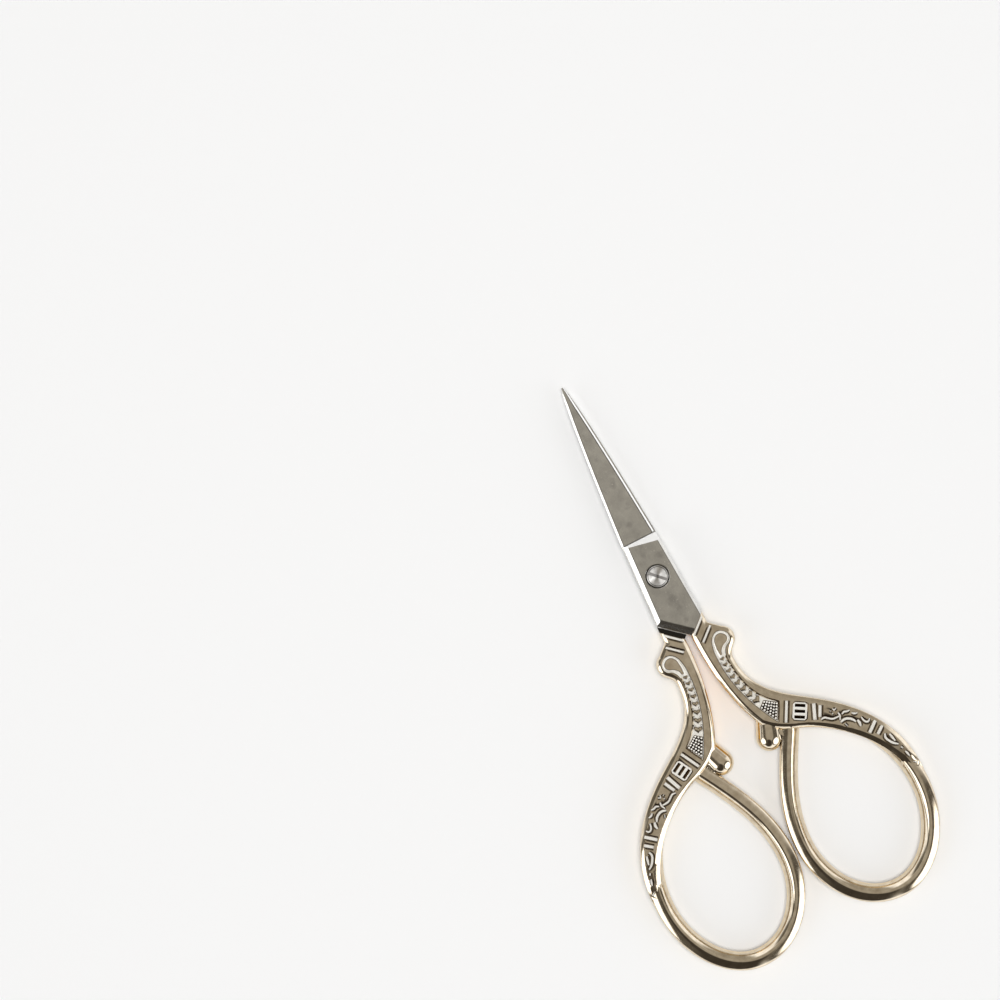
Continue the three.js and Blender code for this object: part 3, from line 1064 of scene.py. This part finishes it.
def blockMark(face):  # the ramp and the edge of the slanted end are painted bright as a highlight, the ramp more the steeper it is
    x, y, up = face.normal
    if face.center.y > 0 and y > 0.1 and up > 0.3:
        ramp = min(max((0.97 - up) / 0.2, 0.0), 1.0)
        return ramp if up > 0.64 else -0.7  # a painted shadow along the ramp's foot
    if up > 0.95 and abs(x) > 0.15 and y > -0.1:
        return -0.5  # and the long edges of its face are painted dark as shade
    return 0.7 if y < -0.4 and x < -0.3 and 0.5 < up < 0.7 else 0.0


def recessShadeCorner(body):  # painted shade: the corner of the inner face that the other half never covers is painted dark, as the shade in the deep recess there
    run = steelHalf["shadedCornerRun"]
    out = Vector(steelHalf["shadedCornerOut"])
    edge = Vector((-shoulderInner.x, shoulderInner.y))
    openEdit(body)
    bpy.ops.mesh.bisect(plane_co=(*(edge - out * run), 0), plane_no=(*out, 0))
    closeEdit()
    mark(body, lambda face: -1.0 if face.normal.z < -0.9 and out.dot(face.center.xy - edge) > -run else None)


def buildBlade(screwSeat):
    body = pivotBlock()
    combine(body, stepCutter(), "DIFFERENCE")
    softenStep(body)
    combine(mark(body, blockMark), bladeLoft(), "UNION")
    hole = pivotFit["bore"] if screwSeat else pivotFit["tapped"]
    combine(body, bore(hole, -pivotFit["through"], pivotFit["through"]), "DIFFERENCE")
    if screwSeat:
        lip = pivotFit["seatLip"]
        seat = bore(pivotFit["seat"], pivotFit["seatFloor"], half - lip, lip)
        # painted shade: the counterbore's floor and lower wall are painted dark
        mark(seat, lambda face: -1.0 if face.center.z < half - 1.5 * lip else 0.0)
        combine(body, seat, "DIFFERENCE")
    recessShadeCorner(body)
    mergeUp(body)
    print("blade shaped:", len(body.data.polygons), "faces")
    return body


# Pivot screw: a slotted cheese head, turned on the lathe
screw = {
    "radius": 1.0,
    "tailChamfer": 0.15,
    "headRadius": 1.63,
    "seat": 1.28,  # above the mid-plane
    "rim": 1.86,
    "crown": 2.04,
    "headEdge": [(0, -0.06), (0.13, 0.04), (0.18, 0), (0.22, 0.06)],  # in from its radius, up from the rim
    "dome": [(0.65, 0.06), (0.35, 0.015), (0, 0)],  # share of its radius, down from the crown
    "groove": 0.175,  # in from its radius
    "grooveHalf": 0.035,
    "slotWidth": 0.42,
    "slotDepth": 0.42,
    "slotAngle": -45,
    "sides": 96,
    "crisp": 32,  # edges sharper than this stay crisp, degrees
}


def buildScrew():
    c = screw
    head = c["headRadius"]
    tail = c["tailChamfer"]
    profile = [(0, -half), (c["radius"] - tail, -half), (c["radius"], tail - half)]
    profile += [(c["radius"], c["seat"]), (head, c["seat"])]
    profile += [(head - inwards, c["rim"] + up) for inwards, up in c["headEdge"]]
    profile += [(share * head, c["crown"] - down) for share, down in c["dome"]]
    pick(layCurve("screw", profile, False, 1, "VECTOR"))
    bpy.ops.object.convert(target="MESH")
    piece = bpy.context.object
    place(piece, turn=(math.pi / 2, 0, 0))
    bpy.ops.object.mode_set(mode="EDIT")
    bpy.ops.mesh.select_all(action="SELECT")
    bpy.ops.mesh.spin(steps=c["sides"], angle=2 * math.pi, center=(0, 0, 0), axis=(0, 0, 1))
    closeEdit()
    mergeUp(piece, bench["weld"])

    # painted shade: the fine groove round the head's rim is painted dark
    def grooveMark(face):
        off = abs(face.center.xy.length - head + c["groove"])
        return -0.9 if face.center.z > c["rim"] - 0.02 and off < c["grooveHalf"] else 0.0

    mark(piece, grooveMark)
    bpy.ops.object.select_all(action="DESELECT")
    bpy.ops.mesh.primitive_cube_add(size=1, location=(0, 0, 0))
    slot = bpy.context.object
    place(slot, size=(4 * head, c["slotWidth"], 2 * c["slotDepth"]))
    place(slot, shift=(0, 0, c["crown"]), turn=(0, 0, math.radians(c["slotAngle"])))
    # painted shade: the slot's floor and walls are painted dark
    combine(piece, mark(slot, lambda face: -0.6 if face.normal.z < -0.9 else -1.0), "DIFFERENCE")
    mergeUp(piece)
    print("screw turned:", len(piece.data.polygons), "faces")
    return piece


# Finishes: colours, and bump depths in metres
goldLook = {
    "plate": (0.8, 0.7, 0.545, 1),
    "deep": (0.62, 0.52, 0.385, 1),
    "corner": (0.15, 0.11, 0.07, 1),  # painted shade, in tight corners and on the dark marks
    "cornerReach": 0.0004,
    "cornerClear": 0.65,
    # painted reflection tint: upright faces take this deeper gold
    "wall": (0.88, 0.71, 0.45, 1),
    # satin with a painted highlight: nearly white
    "struck": (0.97, 0.945, 0.88, 1),
    # painted reflection: amber for the inner wall, which warms the gap between the shanks
    "bounceTint": (0.9, 0.53, 0.11, 1),
    "roughness": (0.06, 0.13),
    "struckRoughness": 0.42,
    "struckMetal": 0.3,
    "waves": 0.00001,
    "grain": 0.0000012,
}

steelLook = {
    "bare": (0.71, 0.695, 0.645, 1),
    "cloud": (0.55, 0.535, 0.5, 1),
    "stain": (0.36, 0.345, 0.33, 1),
    "speck": (0.86, 0.83, 0.79, 1),
    # painted shade, for the dark marks
    "dark": (0.04, 0.037, 0.033, 1),
    # painted highlight, for the whetted strip, the ramp and the slanted end's edge
    "ground": (0.95, 0.94, 0.92, 1),
    "groundMetal": 0.35,
    # painted shade in tight corners
    "corner": (0.09, 0.085, 0.08, 1),
    "cornerReach": 0.0005,
    "cornerClear": 0.7,
    "roughness": (0.14, 0.26),
    "waves": 0.00003,
    "lines": 0.0000012,
}

screwLook = {
    "bare": (0.97, 0.95, 0.92, 1),
    "cloud": (0.72, 0.7, 0.67, 1),
    # painted shade, for the slot and the groove
    "dark": (0.1, 0.09, 0.08, 1),
    # painted shade in tight corners
    "corner": (0.12, 0.11, 0.1, 1),
    "cornerReach": 0.0005,
    "cornerClear": 0.7,
    "roughness": 0.28,
    "rings": 0.000014,
}


def startFinish(name):  # the material, its nodes, its shader, and the place on the piece in mm
    mat = bpy.data.materials.new(name)
    mat.use_nodes = True
    tree = mat.node_tree
    skin = tree.nodes["Principled BSDF"]
    skin.location = (1200, 0)
    tree.nodes["Material Output"].location = (1500, 0)
    where = newNode(tree, "ShaderNodeTexCoord", (-1200, 0))
    inMm = newNode(tree, "ShaderNodeMapping", (-1000, 0))
    inMm.inputs["Scale"].default_value = (1000, 1000, 1000)
    tree.links.new(where.outputs["Object"], inMm.inputs["Vector"])
    return mat, tree, skin, inMm.outputs["Vector"]


def struckValue(tree):  # what mark() left on each face
    return newNode(tree, "ShaderNodeAttribute", (-700, 100), attribute_name="struck").outputs["Fac"]


# how much a face is satin with a painted highlight, from its mark
def satinHighlightShare(tree, struck):
    return spread(tree, struck, (-500, 100), 0, 1, 0, 1)


# how much a face is painted dark as shade, from its mark
def paintedShadeShare(tree, struck):
    return spread(tree, struck, (-500, -50), 1, 0, -1, 0)


def cornerShade(tree, skin, look, colour):  # painted shade: where ambient occlusion finds a tight corner, the colour goes to the look's corner colour
    inside = newNode(tree, "ShaderNodeAmbientOcclusion", (-400, 600), samples=8, only_local=True)
    inside.inputs["Distance"].default_value = look["cornerReach"]
    clear = spread(tree, inside.outputs["AO"], (-100, 600), 0, 1, 0.2, look["cornerClear"])
    tree.links.new(blendColour(tree, clear, (200, 300), look["corner"], colour), skin.inputs["Base Color"])


def goldPlate():
    mat, tree, skin, here = startFinish("goldPlate")
    struck = struckValue(tree)
    satin = satinHighlightShare(tree, struck)
    dark = paintedShadeShare(tree, struck)
    clouds = spread(tree, noise(tree, here, (-900, 300), 0.9, 5), (-700, 300), 0, 1, 0.3, 0.7)
    plate = blendColour(tree, clouds, (-400, 300), goldLook["plate"], goldLook["deep"])
    # painted reflection tint: upright faces turn a deeper gold
    facing = newNode(tree, "ShaderNodeNewGeometry", (-1200, 500))
    split = newNode(tree, "ShaderNodeSeparateXYZ", (-1000, 500))
    tree.links.new(facing.outputs["Normal"], split.inputs[0])
    level = newNode(tree, "ShaderNodeMath", (-800, 500), operation="ABSOLUTE")
    tree.links.new(split.outputs["Z"], level.inputs[0])
    upright = spread(tree, level.outputs[0], (-600, 500), 1, 0, 0.15, 0.6)
    plate = blendColour(tree, upright, (-250, 300), plate, goldLook["wall"])
    # painted reflection on the inner wall, and a painted highlight on satin faces
    bounceTint = spread(tree, struck, (-500, 200), 0, 1, 1, 2)
    satinAndBounceTint = blendColour(tree, bounceTint, (-250, 450), goldLook["struck"], goldLook["bounceTint"])
    ground = blendColour(tree, satin, (-100, 300), plate, satinAndBounceTint)
    # painted shade on the dark marks
    ground = blendColour(tree, dark, (50, 300), ground, goldLook["corner"])
    cornerShade(tree, skin, goldLook, ground)
    wear = noise(tree, here, (-700, -100), 0.8, 4)
    worn = spread(tree, wear, (-400, -100), *goldLook["roughness"], 0.3, 0.7)
    rough = blendValue(tree, satin, (0, -100), worn, goldLook["struckRoughness"])
    tree.links.new(rough, skin.inputs["Roughness"])
    metal = blendValue(tree, satin, (0, 0), 1.0, goldLook["struckMetal"])
    tree.links.new(metal, skin.inputs["Metallic"])
    wavy = bump(tree, noise(tree, here, (-700, -400), 0.35, 1), (0, -400), goldLook["waves"])
    grain = noise(tree, here, (-700, -600), 9, 3)
    tree.links.new(bump(tree, grain, (300, -400), goldLook["grain"], wavy), skin.inputs["Normal"])
    return mat


def bladeSteel():
    mat, tree, skin, here = startFinish("bladeSteel")
    struck = struckValue(tree)
    ground = satinHighlightShare(tree, struck)
    dark = paintedShadeShare(tree, struck)
    clouds = spread(tree, noise(tree, here, (-900, 300), 0.5, 6), (-700, 300), 0, 1, 0.3, 0.7)
    bare = blendColour(tree, clouds, (-400, 300), steelLook["bare"], steelLook["cloud"])
    stains = spread(tree, noise(tree, here, (-900, 700), 0.42, 4), (-700, 700), 0, 0.6, 0.56, 0.72)
    bare = blendColour(tree, stains, (-300, 600), bare, steelLook["stain"])
    specks = spread(tree, noise(tree, here, (-900, 900), 3.2, 3), (-700, 900), 0, 1, 0.66, 0.76)
    bare = blendColour(tree, specks, (-250, 600), bare, steelLook["speck"])
    # painted shade on the dark marks, then a painted highlight on the ground strips
    bare = blendColour(tree, dark, (-200, 300), bare, steelLook["dark"])
    bare = blendColour(tree, ground, (0, 300), bare, steelLook["ground"])
    cornerShade(tree, skin, steelLook, bare)
    metal = blendValue(tree, ground, (600, 100), 1.0, steelLook["groundMetal"])
    tree.links.new(metal, skin.inputs["Metallic"])
    lines = noise(tree, here, (-700, -100), 1.0, 2, (16, 0.5, 4))  # drawn out along the blade
    rough = spread(tree, lines, (-400, -100), *steelLook["roughness"], 0.3, 0.7)
    tree.links.new(rough, skin.inputs["Roughness"])
    wavy = bump(tree, noise(tree, here, (-700, -400), 0.16, 2), (0, -400), steelLook["waves"])
    tree.links.new(bump(tree, lines, (300, -400), steelLook["lines"], wavy), skin.inputs["Normal"])
    return mat


def turnedSteel():
    mat, tree, skin, here = startFinish("turnedSteel")
    dark = paintedShadeShare(tree, struckValue(tree))
    clouds = spread(tree, noise(tree, here, (-900, 300), 1.5, 4), (-700, 300), 0, 1, 0.4, 0.62)
    bare = blendColour(tree, clouds, (-400, 300), screwLook["bare"], screwLook["cloud"])
    # painted shade on the slot and the groove
    bare = blendColour(tree, dark, (-200, 300), bare, screwLook["dark"])
    cornerShade(tree, skin, screwLook, bare)
    skin.inputs["Metallic"].default_value = 1
    skin.inputs["Roughness"].default_value = screwLook["roughness"]
    rings = newNode(tree, "ShaderNodeTexWave", (-700, -300), wave_type="RINGS", rings_direction="Z")
    rings.inputs["Scale"].default_value = 4.5
    rings.inputs["Distortion"].default_value = 0.4
    tree.links.new(here, rings.inputs["Vector"])
    turned = bump(tree, rings.outputs["Fac"], (0, -300), screwLook["rings"])
    tree.links.new(turned, skin.inputs["Normal"])
    return mat


# Finishing: each piece goes to its place in metres, on its body
def finishSurface(piece, angle):  # smooth where the surface runs on, crisp where it breaks
    pick(piece)
    bpy.ops.object.shade_smooth_by_angle(angle=math.radians(angle))
    even = piece.modifiers.new("even", "WEIGHTED_NORMAL")
    even.keep_sharp = True
    bpy.ops.object.modifier_apply(modifier=even.name)


def settle(piece, name, body, node, finish, crisp, turned=False):
    place(piece, shift=(0, 0, half * mm), turn=(0, math.pi if turned else 0, 0), size=(mm, mm, mm))
    finishSurface(piece, crisp)
    piece.name = name
    piece.data.name = name
    piece.data.materials.clear()
    piece.data.materials.append(finish)
    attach(piece, body)
    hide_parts(node)


def copyOf(piece):
    pick(piece)
    bpy.ops.object.duplicate(linked=False)
    return bpy.context.object


bpy.context.scene.view_settings.view_transform = "Standard"
addCamera()
buildWorld()
addFill()
buildFloor()
gold = goldPlate()
steel = bladeSteel()
bright = turnedSteel()
print("studio and finishes ready")

upperHandle = buildHandle()
lowerHandle = copyOf(upperHandle)
handleCrisp = shank["crisp"]
settle(upperHandle, "upperHandle", "upper_half", "upper_handle", gold, handleCrisp)
settle(lowerHandle, "lowerHandle", "lower_half", "lower_handle", gold, handleCrisp, turned=True)
bladeCrisp = steelHalf["crisp"]
upperBlade = buildBlade(screwSeat=True)
settle(upperBlade, "upperBlade", "upper_half", "upper_blade", steel, bladeCrisp)
lowerBlade = buildBlade(screwSeat=False)
settle(lowerBlade, "lowerBlade", "lower_half", "lower_blade", steel, bladeCrisp, turned=True)
pivotScrew = buildScrew()
settle(pivotScrew, "pivotScrew", "lower_half", "pivot_screw", bright, screw["crisp"])
